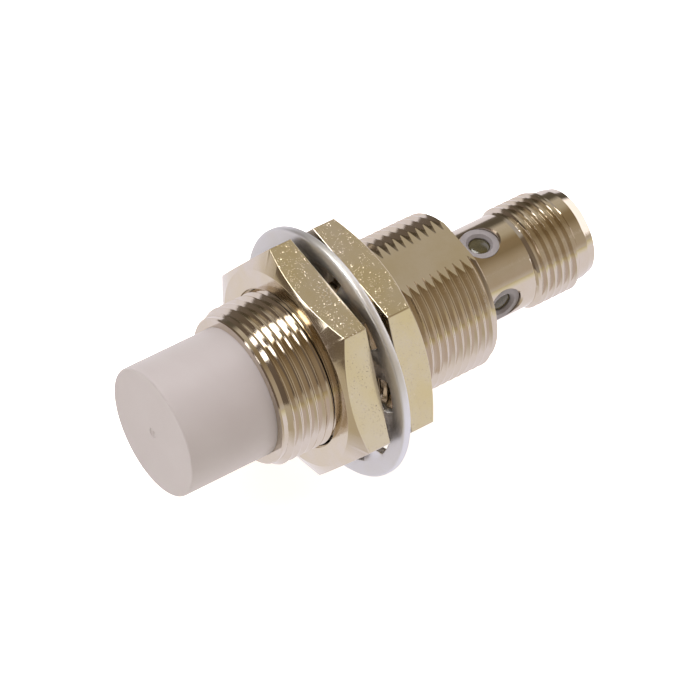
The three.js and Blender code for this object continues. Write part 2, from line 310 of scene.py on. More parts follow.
# radius and place along the axis, with a slow third coordinate, so that a pattern runs round the piece
def turnedCoordinates(tree, inMm):
    parts = addNode(tree, "ShaderNodeSeparateXYZ", {0: inMm})
    flat = addNode(tree, "ShaderNodeCombineXYZ", {0: parts.outputs[0], 2: parts.outputs[2]})
    radius = addNode(tree, "ShaderNodeVectorMath", {0: flat.outputs[0]}, operation="LENGTH")
    slow = addNode(tree, "ShaderNodeMath", {0: parts.outputs[0], 1: 0.02},  # a mark fades in about 50 mm
                   operation="MULTIPLY")
    return addNode(tree, "ShaderNodeCombineXYZ",
                   {0: radius.outputs["Value"], 1: parts.outputs[1], 2: slow.outputs[0]}).outputs[0]


# bright nickel over brass: a warm silver that mirrors the room, softened a little by the tool marks under
# the plating; what is given "per mm" is a number of marks in a millimetre
def nickelPlate(name, look):
    material, tree, shader, inMm = startMaterial(name)
    tone = addNode(tree, "ShaderNodeTexNoise",
                   {"Vector": inMm, "Scale": look["patch"], "Detail": 4.0, "Roughness": 0.55})
    blend = addNode(tree, "ShaderNodeMapRange",
                    {"Value": tone.outputs["Fac"], "From Min": 0.35, "From Max": 0.68})
    tint = addNode(tree, "ShaderNodeMix", {0: blend.outputs[0], 6: hexLinear(look["cool"]),
                                           7: hexLinear(look["warm"])}, data_type="RGBA")
    tree.links.new(tint.outputs[2], shader.inputs["Base Color"])
    shader.inputs["Metallic"].default_value = 1.0
    marks = addNode(tree, "ShaderNodeTexNoise",
                    {"Vector": turnedCoordinates(tree, inMm), "Scale": look["marks"],
                     "Detail": 3.0, "Roughness": 0.6})
    grain = addNode(tree, "ShaderNodeTexNoise",
                    {"Vector": inMm, "Scale": look["grain"], "Detail": 5.0, "Roughness": 0.7})
    rough = addNode(tree, "ShaderNodeMapRange",
                    {"Value": grain.outputs["Fac"], "From Min": 0.3, "From Max": 0.75,
                     "To Min": look["roughLow"], "To Max": look["roughHigh"]})
    tree.links.new(rough.outputs[0], shader.inputs["Roughness"])
    normal = addNode(tree, "ShaderNodeBump", {"Height": marks.outputs["Fac"],
                                              "Strength": look["markDepth"], "Distance": 0.00002})
    normal = addNode(tree, "ShaderNodeBump", {"Height": grain.outputs["Fac"],
                                              "Strength": look["grainDepth"], "Distance": 0.00002,
                                              "Normal": normal.outputs[0]})
    if look["pits"]:  # tilted specks under the plating in clusters, on the flats only
        cells = addNode(tree, "ShaderNodeTexVoronoi", {"Vector": inMm, "Scale": look["pits"]})
        spot = addNode(tree, "ShaderNodeVectorMath", {0: inMm, 1: cells.outputs["Position"]},
                       operation="SUBTRACT")
        lean = addNode(tree, "ShaderNodeVectorMath", {0: cells.outputs["Color"], 1: (0.5, 0.5, 0.5)},
                       operation="SUBTRACT")
        slant = addNode(tree, "ShaderNodeVectorMath", {0: spot.outputs[0], 1: lean.outputs[0]},
                        operation="DOT_PRODUCT")
        inside = addNode(tree, "ShaderNodeMapRange",
                         {"Value": cells.outputs["Distance"], "From Min": 0.20, "From Max": 0.27,
                          "To Min": 1.0, "To Max": 0.0})
        crowd = addNode(tree, "ShaderNodeTexNoise", {"Vector": inMm, "Scale": 0.45, "Detail": 1.0})  # 2 mm
        some = addNode(tree, "ShaderNodeMapRange",
                       {"Value": crowd.outputs["Fac"], "From Min": 0.38, "From Max": 0.52})
        facing = addNode(tree, "ShaderNodeSeparateXYZ",
                         {0: addNode(tree, "ShaderNodeTexCoord").outputs["Normal"]})
        tilt = addNode(tree, "ShaderNodeMath", {0: facing.outputs[1]}, operation="ABSOLUTE")
        onFlat = addNode(tree, "ShaderNodeMath", {0: tilt.outputs[0], 1: 0.05},  # square to the axis
                         operation="LESS_THAN")
        share = addNode(tree, "ShaderNodeMath", {0: inside.outputs[0], 1: some.outputs[0]},
                        operation="MULTIPLY")
        share = addNode(tree, "ShaderNodeMath", {0: share.outputs[0], 1: onFlat.outputs[0]},
                        operation="MULTIPLY")
        speck = addNode(tree, "ShaderNodeMath", {0: slant.outputs["Value"], 1: share.outputs[0]},
                        operation="MULTIPLY")
        normal = addNode(tree, "ShaderNodeBump", {"Height": speck.outputs[0],
                                                  "Strength": look["pitDepth"], "Distance": 0.001,
                                                  "Normal": normal.outputs[0]})
    tree.links.new(normal.outputs[0], shader.inputs["Normal"])
    return material


# bright zinc on stamped spring steel: bluer and milkier than nickel, so its highlights are broad and soft
def zincPlate(name, look):
    material, tree, shader, inMm = startMaterial(name)
    tone = addNode(tree, "ShaderNodeTexNoise", {"Vector": inMm, "Scale": look["patch"], "Detail": 5.0})
    blend = addNode(tree, "ShaderNodeMapRange",
                    {"Value": tone.outputs["Fac"], "From Min": 0.35, "From Max": 0.65})
    tint = addNode(tree, "ShaderNodeMix", {0: blend.outputs[0], 6: hexLinear(look["cool"]),
                                           7: hexLinear(look["warm"])}, data_type="RGBA")
    tree.links.new(tint.outputs[2], shader.inputs["Base Color"])
    shader.inputs["Metallic"].default_value = 1.0
    grain = addNode(tree, "ShaderNodeTexNoise",
                    {"Vector": inMm, "Scale": look["grain"], "Detail": 4.0, "Roughness": 0.65})
    rough = addNode(tree, "ShaderNodeMapRange",
                    {"Value": grain.outputs["Fac"], "From Min": 0.3, "From Max": 0.7,
                     "To Min": look["roughLow"], "To Max": look["roughHigh"]})
    tree.links.new(rough.outputs[0], shader.inputs["Roughness"])
    bump = addNode(tree, "ShaderNodeBump", {"Height": grain.outputs["Fac"],
                                            "Strength": look["grainDepth"], "Distance": 0.00003})
    tree.links.new(bump.outputs[0], shader.inputs["Normal"])
    return material


# moulded plastic, and the small smooth pieces: an even colour with a faint flow mottle, and the fine spark
# grain of its mould in roughness and bump
def plastic(name, look):
    material, tree, shader, inMm = startMaterial(name)
    flow = addNode(tree, "ShaderNodeTexNoise",
                   {"Vector": inMm, "Scale": look["flow"], "Detail": 3.0, "Distortion": 0.6})
    blend = addNode(tree, "ShaderNodeMapRange",
                    {"Value": flow.outputs["Fac"], "From Min": 0.3, "From Max": 0.7})
    tint = addNode(tree, "ShaderNodeMix", {0: blend.outputs[0], 6: hexLinear(look["light"]),
                                           7: hexLinear(look["dark"])}, data_type="RGBA")
    tree.links.new(tint.outputs[2], shader.inputs["Base Color"])
    shader.inputs["IOR"].default_value = look["ior"]
    grain = addNode(tree, "ShaderNodeTexNoise",
                    {"Vector": inMm, "Scale": look["grain"], "Detail": 4.0, "Roughness": 0.6})
    rough = addNode(tree, "ShaderNodeMapRange",
                    {"Value": grain.outputs["Fac"], "From Min": 0.3, "From Max": 0.7,
                     "To Min": look["roughLow"], "To Max": look["roughHigh"]})
    tree.links.new(rough.outputs[0], shader.inputs["Roughness"])
    bump = addNode(tree, "ShaderNodeBump", {"Height": grain.outputs["Fac"],
                                            "Strength": look["bump"], "Distance": 0.00003})
    tree.links.new(bump.outputs[0], shader.inputs["Normal"])
    return material, shader


# turned on a lathe: fine rings round the axis, really about 20 in a millimetre, drawn at 9 so they show;
# they stretch each highlight a little along the barrel
turnedNickel = nickelPlate("nickelPlatedBrassTurned", {
    "cool": "#D4CABD", "warm": "#CFC3AF", "patch": 0.25,  # tone patches 4 mm wide
    "marks": 9.0, "markDepth": 0.18,  # per mm
    "grain": 14.0, "grainDepth": 0.08,  # per mm, the plating's own grain
    "roughLow": 0.05, "roughHigh": 0.11, "pits": 0, "pitDepth": 0})
# drawn hexagon bar: duller flats than the turned pieces, with specks a tenth of a millimetre wide
# that catch the light one by one
milledNickel = nickelPlate("nickelPlatedBrassHexBar", {
    "cool": "#D4CABD", "warm": "#D2C5A8", "patch": 0.18,  # tone patches 5 mm wide
    "marks": 2.0, "markDepth": 0.05,  # per mm, the faint waves left by drawing
    "grain": 7.0, "grainDepth": 0.12,  # per mm
    "roughLow": 0.09, "roughHigh": 0.17, "pits": 4.2, "pitDepth": 0.7})  # pits per mm
# stamped and barrel-plated: the real grain is near 20 in a millimetre, drawn at 9 so it shows
zincSteel = zincPlate("zincPlatedSpringSteel", {
    "cool": "#E0E0E3", "warm": "#DDDCDB", "patch": 0.3, "grain": 9.0, "grainDepth": 0.25,
    "roughLow": 0.34, "roughHigh": 0.5})
# moulded PBT: pale warm grey with a satin skin, so it shows broad soft shading and no sharp highlight
headPbt, _ = plastic("mouldedPbtHead", {
    "light": "#A49D9B", "dark": "#A09896", "flow": 0.12, "grain": 11.0, "ior": 1.54,
    "roughLow": 0.42, "roughHigh": 0.55, "bump": 0.1})
# moulded glass-filled nylon: near black and satin, so the gold pins stand out against it
insertNylon, _ = plastic("mouldedNylonInsert", {
    "light": "#2B2B2E", "dark": "#202022", "flow": 0.5, "grain": 9.0, "ior": 1.53,
    "roughLow": 0.35, "roughHigh": 0.5, "bump": 0.2})
# moulded polycarbonate with a blasted skin: a milky grey ring with a soft edge
frostedWindow, _ = plastic("frostedPolycarbonateRing", {
    "light": "#7E7878", "dark": "#767070", "flow": 0.6, "grain": 12.0, "ior": 1.58,
    "roughLow": 0.4, "roughHigh": 0.55, "bump": 0.1})
# polished polycarbonate over an unlit cavity: its dark olive colour is painted shade, standing for the unlit
# cavity seen through the clear plastic; glossy, with small sharp highlights
windowClear, windowShader = plastic("clearPolycarbonateWindow", {
    "light": "#4A4228", "dark": "#3A341F", "flow": 0.9, "grain": 6.0, "ior": 1.58,
    "roughLow": 0.08, "roughHigh": 0.16, "bump": 0.05})
windowShader.inputs["Transmission Weight"].default_value = 0.2
# hard gold over nickel on turned brass: deep yellow, with soft highlights on the round tips
goldPlate, goldShader = plastic("goldPlatedContact", {
    "light": "#E2BD62", "dark": "#D6A94A", "flow": 0.6, "grain": 12.0, "ior": 1.5,
    "roughLow": 0.18, "roughHigh": 0.3, "bump": 0.1})
goldShader.inputs["Metallic"].default_value = 1.0
print("finishes made")

head = {"radius": 7.4, "end": 17.4, "edge": 0.22, "rearEdge": 0.15, "wall": 0.8, "floor": 1.0,
        "gateRadius": 0.5, "gateDepth": 0.1, "nubRadius": 0.1, "columns": 160}


def buildHead():
    inside = head["radius"] - head["wall"]
    gate, depth, nub = head["gateRadius"], head["gateDepth"], head["nubRadius"]
    profile = roundedProfile([
        (head["radius"], 0.0, head["edge"]),
        (head["radius"], head["end"], head["rearEdge"]),
        (inside, head["end"], 0),
        (inside, head["floor"], 0.2),
        (0, head["floor"], 0),
        (0, depth * 0.2, 0),  # the moulding gate's mark: a sunk ring round a small nub
        (nub, depth * 0.2, 0),
        (nub + 0.06, depth, 0),
        (gate, depth, 0),
        (gate + 0.1, 0.0, 0),
    ])
    bm = turnedSolid(profile, head["columns"])
    finishMesh("sensingHead", bm, headPbt, "sensor_body", ["sensing_cap"], 20, True)


buildHead()

barrel = {"pitch": 1.0, "crest": 9.0, "root": 8.43, "phase": 0.2, "start": 10.8, "end": 38.8,
          "bore": 7.42, "flatHeight": 8.16, "flatStart": 25.8, "columns": 220,
          # limits of the radius along y: a plain front ring, then the thread, then the end's bevel
          "low": [(10.8, 8.3), (10.95, 8.46), (11.45, 8.46), (11.5, 8.2), (38.8, 8.2)],
          "high": [(10.8, 8.3), (10.95, 8.46), (11.45, 8.46), (12.0, 9.1), (38.35, 9.1), (38.8, 8.6)]}


def buildBarrel():
    bm = threadedRod(barrel, barrel["columns"], barrel["bore"])
    start, height = barrel["flatStart"] * mm, barrel["flatHeight"] * mm
    for spot, facing in (((0, start, 0), (0, 1, 0)), ((0, 0, height), (0, 0, 1))):
        near = [f for f in bm.faces if max(v.co.z for v in f.verts) > height
                and max(v.co.y for v in f.verts) > start - 2 * mm]
        geometry = set(near)
        for face in near:
            geometry.update(face.edges)
            geometry.update(face.verts)
        bmesh.ops.bisect_plane(bm, geom=list(geometry), dist=sameSpot["cut"], plane_co=spot,
                               plane_no=facing)
    for vert in bm.verts:  # the thread above the flat is pressed down onto it
        if vert.co.y > start + 1e-6:
            vert.co.z = min(vert.co.z, height)
    finishMesh("threadedBarrel", bm, turnedNickel, "sensor_body",
               ["threaded_barrel"], 32, True, [Vector((0, 0, 1))])


buildBarrel()
print("barrel made")

plug = {"pitch": 1.0, "crest": 5.88, "root": 5.38, "phase": 0.1, "start": 33.5, "end": 54.8,
        "section": plugSection, "columns": 160, "hub": 7.4, "hubEnd": 38.5, "shank": 5.45,
        "collar": 5.3, "bore": 4.52, "threadStart": 46.9, "threadEnd": 52.4, "endChamfer": 1.0,
        "windowY": 42.3, "windowTurn": -5, "spotRadius": 2.2, "spotFloor": 4.94, "spotFlare": 0.2,
        "windowRadius": 1.5, "flangeRadius": 2.16, "ringWidth": 0.3, "ringHeight": 0.09,
        "lensDepth": 0.42, "lensCrown": 0.2}


def plugLimits():  # the radius limits along y: hub, shank, thread, collar and the chamfered end
    hub, hubEnd, shank, collar = plug["hub"], plug["hubEnd"], plug["shank"], plug["collar"]
    begin, end, bevel = plug["threadStart"], plug["threadEnd"], plug["endChamfer"]
    below, above = plug["root"] - 0.18, plug["crest"] + 0.1  # clear of the thread, so they leave it whole
    brink = plug["end"] - 0.05  # the chamfer's far edge, where the end face's small edge starts
    start = [(plug["start"], hub), (hubEnd - 0.05, hub), (hubEnd, shank), (begin - 0.5, shank)]
    finish = [(end + 0.1, collar), (brink - bevel, collar), (brink, collar - bevel * 0.25),
              (plug["end"], collar - bevel * 0.25 - 0.06)]
    return (start + [(begin - 0.1, below), (end, below)] + finish,
            start + [(begin + 0.2, above), (end - 0.3, above)] + finish)


def buildPlug():
    size = dict(plug)
    size["low"], size["high"] = plugLimits()
    bm = threadedRod(size, plug["columns"], plug["bore"])
    floor, hole, flange = plug["spotFloor"], plug["windowRadius"], plug["flangeRadius"]
    radius, flare = plug["spotRadius"], plug["spotRadius"] + plug["spotFlare"]
    inner, outer = 3.5, 7  # radii round the axis between which each window is cut
    turns = [plug["windowTurn"] + 90 * i for i in range(4)]
    cutters = [radialRod([(0, inner), (hole, inner), (hole, floor - 0.1), (hole + 0.1, floor),
                          (radius, floor), (radius + 0.03, floor + 0.3),
                          (flare, floor + 0.5), (flare, outer), (0, outer)],
                         turn, plug["windowY"], 96) for turn in turns]
    facings = [Vector((math.sin(math.radians(turn)), 0, math.cos(math.radians(turn)))) for turn in turns]
    bm = booleanMesh(bm, cutters, solver="EXACT")
    finishMesh("plugShell", bm, turnedNickel, "sensor_body", ["connector_shell"], 32,
               True, facings)
    rim, back = hole - 0.02, 4.3  # the ring sits a hair inside its hole
    top = floor + plug["ringHeight"]
    for i, turn in enumerate(turns):
        ring = radialRod(roundedProfile([
            (hole - plug["ringWidth"], back, 0), (rim, back, 0), (rim, floor + 0.005, 0),
            (flange, floor + 0.005, 0), (flange, top, 0.06), (rim, top, 0.08),
            (hole - plug["ringWidth"], floor - 0.25, 0)]), turn, plug["windowY"], 72)
        finishMesh("lightWindow%d" % (i + 1), ring, frostedWindow, "sensor_body",
                   ["indicator_window_%d" % (i + 1)], 30)
        radius = hole - plug["ringWidth"] - 0.01
        edge = floor - plug["lensDepth"]
        lens = [(0, back - 0.05), (radius, back - 0.05), (radius, edge)]
        for step in range(1, 7):  # a low crown, sunk under the ring
            share = step / 6 * math.pi / 2
            lens.append((radius * math.cos(share) if step < 6 else 0,
                         edge + plug["lensCrown"] * math.sin(share)))
        finishMesh("lightLens%d" % (i + 1), radialRod(lens, turn, plug["windowY"], 48), windowClear,
                   "sensor_body")


buildPlug()

contacts = {"offset": 1.77, "radius": 0.5, "back": 42.9, "tip": 53.2, "tipLength": 0.75,
            "carrierRadius": 4.25, "carrierStart": 44.3, "carrierEnd": 46.3, "dishRadius": 3.7,
            "dishDepth": 0.2, "holeRadius": 0.56, "holeMouth": 0.7,
            "keyHalf": 0.6, "keyInner": 3.42, "keyOuter": 4.24, "keyEnd": 53.6, "keyEdge": 0.12}


def buildContacts():
    radius, tip, length = contacts["radius"], contacts["tip"], contacts["tipLength"]
    end, dish = contacts["carrierEnd"], contacts["dishRadius"]
    bottom = end - contacts["dishDepth"]
    places = [(sx * contacts["offset"], sz * contacts["offset"])
              for sx, sz in ((1, 1), (1, -1), (-1, -1), (-1, 1))]
    carrier = turnedSolid(roundedProfile([
        (0, contacts["carrierStart"], 0),
        (contacts["carrierRadius"], contacts["carrierStart"], 0.1),
        (contacts["carrierRadius"], end, 0.15),
        (dish, end, 0.1),
        (dish - 0.15, bottom, 0.1),
        (0, bottom, 0),
    ]), 96)
    hole, mouth = contacts["holeRadius"], contacts["holeMouth"]
    carrier = booleanMesh(carrier, [
        turnedSolid([(0, 43), (hole, 43), (hole, end - 0.3), (mouth, end - 0.1), (0, end - 0.1)], 32, place)
        for place in places])
    half = contacts["keyHalf"]
    key = boxSolid((-half, end - 0.6, contacts["keyInner"]), (half, contacts["keyEnd"], contacts["keyOuter"]))
    bmesh.ops.bevel(key, geom=key.edges[:], offset=contacts["keyEdge"] * mm, segments=3, profile=0.5,
                    affect="EDGES", clamp_overlap=True)
    carrier = booleanMesh(carrier, [key], "UNION")
    finishMesh("contactCarrier", carrier, insertNylon, "sensor_body", ["contact_carrier"], 30)
    for i, place in enumerate(places):
        shape = [(0, contacts["back"]), (radius * 0.8, contacts["back"]), (radius, contacts["back"] + 0.2),
                 (radius, tip - length)]
        for step in range(1, 7):  # a round tip
            share = step / 6 * math.pi / 2
            shape.append((radius * math.cos(share) if step < 6 else 0,
                          tip - length + length * math.sin(share)))
        finishMesh("contactPin%d" % (i + 1), turnedSolid(shape, 32, place), goldPlate, "sensor_body",
                   ["contact_pin_%d" % (i + 1)], 30)


buildContacts()
print("plug made")

nut = {"flats": 24.0, "height": 4.0, "chamferStart": 11.46, "chamferAngle": 27, "edge": 0.09,
       "cornerRadius": 0.15, "frontY": 17.0, "rearY": 23.8, "boreCrest": 9.06, "boreRoot": 8.5,
       "sink": 9.3, "sinkDepth": 0.75, "flatColumns": 40, "boreColumns": 200}


def hexRadius(degrees):  # distance from the axis to the rounded hexagon in this direction
    half, corner = nut["flats"] / 2, nut["cornerRadius"]
    off = abs((degrees + 30) % 60 - 30)  # degrees from the middle of the nearest flat
    centre = (half - corner) / math.cos(math.radians(30))
    delta = math.radians(30 - off)
    under = corner * corner - (centre * math.sin(delta)) ** 2
    touch = 30 - math.degrees(math.atan((half - corner) * math.tan(math.radians(30)) / half))
    if under <= 0 or 30 - off > touch:  # on the flat, clear of the rounded corner
        return half / math.cos(math.radians(off))
    return centre * math.cos(delta) + math.sqrt(under)


def buildNut(name, node, y0, out):  # out is the way its chamfered face looks along y
    reachOfCorner = 0.52  # degrees the rounded corner takes up each side
    columns = nut["flatColumns"]
    angles = []
    for corner in range(6):
        base = 30 + 60 * corner
        angles += [base + d for d in (-reachOfCorner, -0.4, -0.27, -0.13, 0, 0.13, 0.27, 0.4, reachOfCorner)]
        angles += [base + reachOfCorner + (60 - 2 * reachOfCorner) * step / columns
                   for step in range(1, columns)]
    edge, height = nut["edge"], nut["height"]
    slope = math.tan(math.radians(nut["chamferAngle"]))
    inner = 7.0  # inside the thread, which is cut last
    bm = bmesh.new()
    rings = []
    for degrees in angles:
        reach = hexRadius(degrees)
        shoulder = height - (reach - nut["chamferStart"]) * slope
        profile = roundedProfile([
            (inner, 0.0, 0), (reach, 0.0, edge), (reach, shoulder, edge),
            (nut["chamferStart"], height, edge * 2), (inner, height, 0)])
        ring = []
        for radius, y in profile:
            at = y0 + (y if out > 0 else height - y)
            ring.append(bm.verts.new(around(radius, math.radians(degrees), at)))
        rings.append(ring)
    for i in range(len(rings)):
        a, b = rings[i], rings[(i + 1) % len(rings)]
        for j in range(len(a)):
            k = (j + 1) % len(a)
            bm.faces.new((a[j], b[j], b[k], a[k]))
    bmesh.ops.recalc_face_normals(bm, faces=bm.faces)
    sink, depth, under = nut["sink"], nut["sinkDepth"], nut["boreRoot"] - 0.1
    tap = {"pitch": barrel["pitch"], "crest": nut["boreCrest"], "root": nut["boreRoot"],
           "phase": barrel["phase"], "start": y0 - 0.5, "end": y0 + height + 0.5,
           "low": [(y0, sink), (y0 + depth, under), (y0 + height - depth, under), (y0 + height, sink)],
           "high": [(y0, 12)]}
    bm = booleanMesh(bm, [threadedRod(tap, nut["boreColumns"])])
    finishMesh(name, bm, milledNickel, node, [node], 28, True)


buildNut("frontNut", "front_nut", nut["frontY"], -1)
buildNut("rearNut", "rear_nut", nut["rearY"], 1)
print("nuts made")

washer = {"outer": 14.5, "ringInner": 12.45, "tip": 9.55, "front": 21.88, "thickness": 1.0,
          "teeth": 10, "rootHalf": 11.0, "tipHalf": 9.5, "twist": 16.0, "twistStart": 1.3,
          "phase": 14.0, "drop": (0.33, -0.30), "edge": 0.3, "toothEdge": 0.1,
          "columns": 12, "rows": 8}  # halves, twist and phase are in degrees


def toothLift(radius, side):  # how far the twist lifts a point of a tooth out of the ring's plane
    grow = min(1.0, max(0.0, (washer["ringInner"] + 0.1 - radius) / washer["twistStart"]))
    grow = grow * grow * (3 - 2 * grow)
    return side * radius * math.tan(math.radians(washer["twist"])) * grow


def toothHalf(radius):  # half a tooth's width in degrees
    share = (washer["ringInner"] - radius) / (washer["ringInner"] - washer["tip"])
    return washer["rootHalf"] + (washer["tipHalf"] - washer["rootHalf"]) * max(0, share)


def buildWasher():
    bm = bmesh.new()
    teeth, steps, rows = washer["teeth"], washer["columns"], washer["rows"]
    inner, outer, tip, rootHalf = washer["ringInner"], washer["outer"], washer["tip"], washer["rootHalf"]
    sector, half = 360 / teeth, washer["thickness"] / 2
    middle = washer["front"] + half
    ringRadii = [inner, inner + 0.12, inner + 0.6, outer - 0.6, outer]
    toothRadii = [tip + (inner - tip) * row / rows for row in range(rows)]
    layers = {}
    for layer, lift in (("front", -half), ("back", half)):
        made = {}
        for tooth in range(teeth):
            centre = washer["phase"] + tooth * sector
            for c in range(2 * steps):
                if c <= steps:
                    off = -rootHalf + 2 * rootHalf * c / steps
                else:
                    off = rootHalf + (sector - 2 * rootHalf) * (c - steps) / steps
                for k, radius in enumerate(ringRadii):
                    angle = math.radians(centre + off)
                    made["ring", tooth, c, k] = bm.verts.new(around(radius, angle, middle + lift))
                if c <= steps:
                    for k, radius in enumerate(toothRadii):
                        side = math.radians((-1 + 2 * c / steps) * toothHalf(radius))
                        y = middle + lift + toothLift(radius, side)
                        made["tooth", tooth, c, k] = bm.verts.new(
                            around(radius, math.radians(centre) + side, y))
        layers[layer] = made
    for made in layers.values():
        for tooth in range(teeth):
            for c in range(2 * steps):
                nextTooth, nextC = (tooth, c + 1) if c + 1 < 2 * steps else ((tooth + 1) % teeth, 0)
                for k in range(len(ringRadii) - 1):
                    bm.faces.new((made["ring", tooth, c, k], made["ring", nextTooth, nextC, k],
                                  made["ring", nextTooth, nextC, k + 1], made["ring", tooth, c, k + 1]))
                if c < steps:
                    for k in range(rows):
                        above = ("tooth", k + 1) if k + 1 < rows else ("ring", 0)
                        bm.faces.new((made["tooth", tooth, c, k], made["tooth", tooth, c + 1, k],
                                      made[above[0], tooth, c + 1, above[1]],
                                      made[above[0], tooth, c, above[1]]))
    front, back = layers["front"], layers["back"]
    partner = {front[key]: back[key] for key in front}
    rims = [e for e in bm.edges if e.is_boundary and e.verts[0] in partner and e.verts[1] in partner]
    for rim in rims:  # the walls between the two layers
        a, b = rim.verts
        bm.faces.new((a, b, partner[b], partner[a]))
    bmesh.ops.recalc_face_normals(bm, faces=bm.faces)
    corners = [e for e in bm.edges if len(e.link_faces) == 2 and e.calc_face_angle() > math.radians(50)]
    outerEdge = [e for e in corners
                 if min(math.hypot(v.co.x, v.co.z) for v in e.verts) > (outer - 0.3) * mm]
    innerEdge = [e for e in corners if e not in set(outerEdge)]
    bmesh.ops.bevel(bm, geom=outerEdge, offset=washer["edge"] * mm, segments=5, profile=0.5,
                    affect="EDGES", clamp_overlap=True)
    innerEdge = [e for e in innerEdge if e.is_valid]
    bmesh.ops.bevel(bm, geom=innerEdge, offset=washer["toothEdge"] * mm, segments=2, profile=0.5,
                    affect="EDGES", clamp_overlap=True)
    for vert in bm.verts:  # it hangs loose on the barrel, so it sits a little off centre
        vert.co += Vector((washer["drop"][0], 0, washer["drop"][1])) * mm
    finishMesh("toothedWasher", bm, zincSteel, "washer", ["toothed_washer"], 40, True)


buildWasher()
print("washer made")

# the CAD pieces inside the barrel keep their shapes; each gets a finish of its own: its name, light and
# dark colour, IOR, least and most roughness, grain per mm, and whether it is metal
innerLooks = {
    "ferrite_core": ("sinteredFerrite", "#3A3A3D", "#2C2C2E", 1.6, 0.6, 0.75, 5.0, 0),
    "coil_bobbin": ("mouldedNylonBobbin", "#DAD4C3", "#CFC8B4", 1.53, 0.4, 0.55, 8.0, 0),
    "coil_winding": ("enamelledCopper", "#C0703F", "#A85E33", 1.5, 0.25, 0.4, 10.0, 1),
    "coil_lead_1": ("enamelledCopperLeadA", "#C0703F", "#A85E33", 1.5, 0.25, 0.4, 10.0, 1),
    "coil_lead_2": ("enamelledCopperLeadB", "#C0703F", "#A85E33", 1.5, 0.25, 0.4, 10.0, 1),
    "circuit_board": ("solderMaskedBoard", "#1F6B45", "#185838", 1.55, 0.3, 0.45, 4.0, 0),
    "sensor_ic": ("mouldedEpoxyChip", "#1E1E20", "#161618", 1.55, 0.5, 0.65, 9.0, 0),
    "output_transistor": ("mouldedEpoxyTransistor", "#1E1E20", "#161618", 1.55, 0.5, 0.65, 9.0, 0),
    "protection_diode": ("mouldedEpoxyDiode", "#222224", "#18181A", 1.55, 0.5, 0.65, 9.0, 0),
    "trim_resistor": ("firedThickFilm", "#1B1B1D", "#101012", 1.6, 0.4, 0.6, 9.0, 0),
    "supply_capacitor": ("firedCeramic", "#B38D5B", "#A37E4E", 1.7, 0.35, 0.5, 7.0, 0),
    "indicator_led_1": ("clearEpoxyLed", "#EAE4CC", "#DDD5B6", 1.55, 0.15, 0.3, 5.0, 0),
    "indicator_led_2": ("clearEpoxyLedLower", "#EAE4CC", "#DDD5B6", 1.55, 0.15, 0.3, 5.0, 0),
    "shell_seal": ("nitrileRubber", "#242424", "#1A1A1A", 1.52, 0.6, 0.8, 6.0, 0),
    "potting_resin": ("castEpoxyResin", "#35312C", "#292622", 1.55, 0.3, 0.5, 3.0, 0),
}
for node, (name, light, dark, ior, roughLow, roughHigh, grain, metal) in innerLooks.items():
    material, shader = plastic(name, {
        "light": light, "dark": dark, "flow": 0.5, "grain": grain, "ior": ior,
        "roughLow": roughLow, "roughHigh": roughHigh, "bump": 0.2})
    if metal:
        shader.inputs["Metallic"].default_value = 1.0
    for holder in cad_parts[node].material_slots:
        holder.material = material
print("inner finishes set")

studio = {"floorSize": 1.6, "floorTone": "#F7F6F4", "floorMottle": "#F3F2F0", "floorGlow": 0.8,
          "glowTone": "#FFFBF5", "keyPower": 4.6, "keyTone": "#F1F4FF", "keySize": 0.5,
          "keySpot": (-0.14, -0.14, 0.78), "middle": (0, 0.027, 0), "lens": 235.72,
          "cameraSpot": (0.22292, -0.18493, 0.38424), "cameraTurn": (37.9514, -6.4807, 54.8405)}

# what the bright metal mirrors: cards and windows around the table, by azimuth (0 looks along -Y,
# 90 along +X) and elevation in degrees; size in degrees, tone linear
skyCards = [
    {"name": "leftWindow", "turn": -26.0, "rise": 10.5, "wide": 7, "tall": 24, "soft": 0.01,
     "tone": (4.0, 3.9, 3.8, 1)},
    {"name": "rightWindow", "turn": -9.0, "rise": 10.5, "wide": 8, "tall": 24, "soft": 0.01,
     "tone": (4.0, 3.9, 3.8, 1)},
    {"name": "frontScreen", "turn": -45, "rise": 48, "wide": 50, "tall": 44, "soft": 0.03,
     "tone": (0.5, 0.47, 0.44, 1)},
    {"name": "overheadBox", "turn": -76, "rise": 66, "wide": 30, "tall": 24, "soft": 0.03,
     "tone": (9.0, 8.9, 8.8, 1)},
    {"name": "backScreen", "turn": -180, "rise": 32, "wide": 73, "tall": 28, "soft": 0.04,
     "tone": (1.7, 1.65, 1.75, 1)},
]

room = {
    # tone by roll in degrees round the object's own axis, 0 overhead and 90 level on the +X side
    "rollTones": [
        (-95, (0.20, 0.17, 0.15, 1)), (-82, (0.13, 0.11, 0.08, 1)), (-68, (0.14, 0.12, 0.09, 1)),
        (-54, (0.64, 0.58, 0.48, 1)), (-43, (0.59, 0.53, 0.42, 1)), (-30, (0.56, 0.50, 0.38, 1)),
        (-12, (0.33, 0.25, 0.15, 1)), (10, (0.29, 0.22, 0.13, 1)), (30, (0.46, 0.38, 0.27, 1)),
        (50, (0.52, 0.45, 0.35, 1)), (72, (0.54, 0.46, 0.37, 1)), (84, (0.72, 0.67, 0.62, 1))],
    "farTone": (0.17, 0.13, 0.10, 1), "farStart": -0.35, "farEnd": -0.8,  # beyond the front of the table
    # the table's tone by depth under its edge
    "tableTones": [(0.0, (0.62, 0.55, 0.36, 1)), (0.05, (0.80, 0.74, 0.52, 1)),
                   (0.13, (0.94, 0.90, 0.78, 1)), (0.22, (0.97, 0.93, 1.0, 1))],
    "tableTilt": (0.24, 0.10, -1.0), "tableEdge": 0.15, "edgeBlur": 0.015,
    "nearShadowTone": (0.60, 0.53, 0.42, 1), "nearStart": -0.5, "nearEnd": -0.72}  # the table's front part, darker: painted shadow of the object on the table, as the metal mirrors it
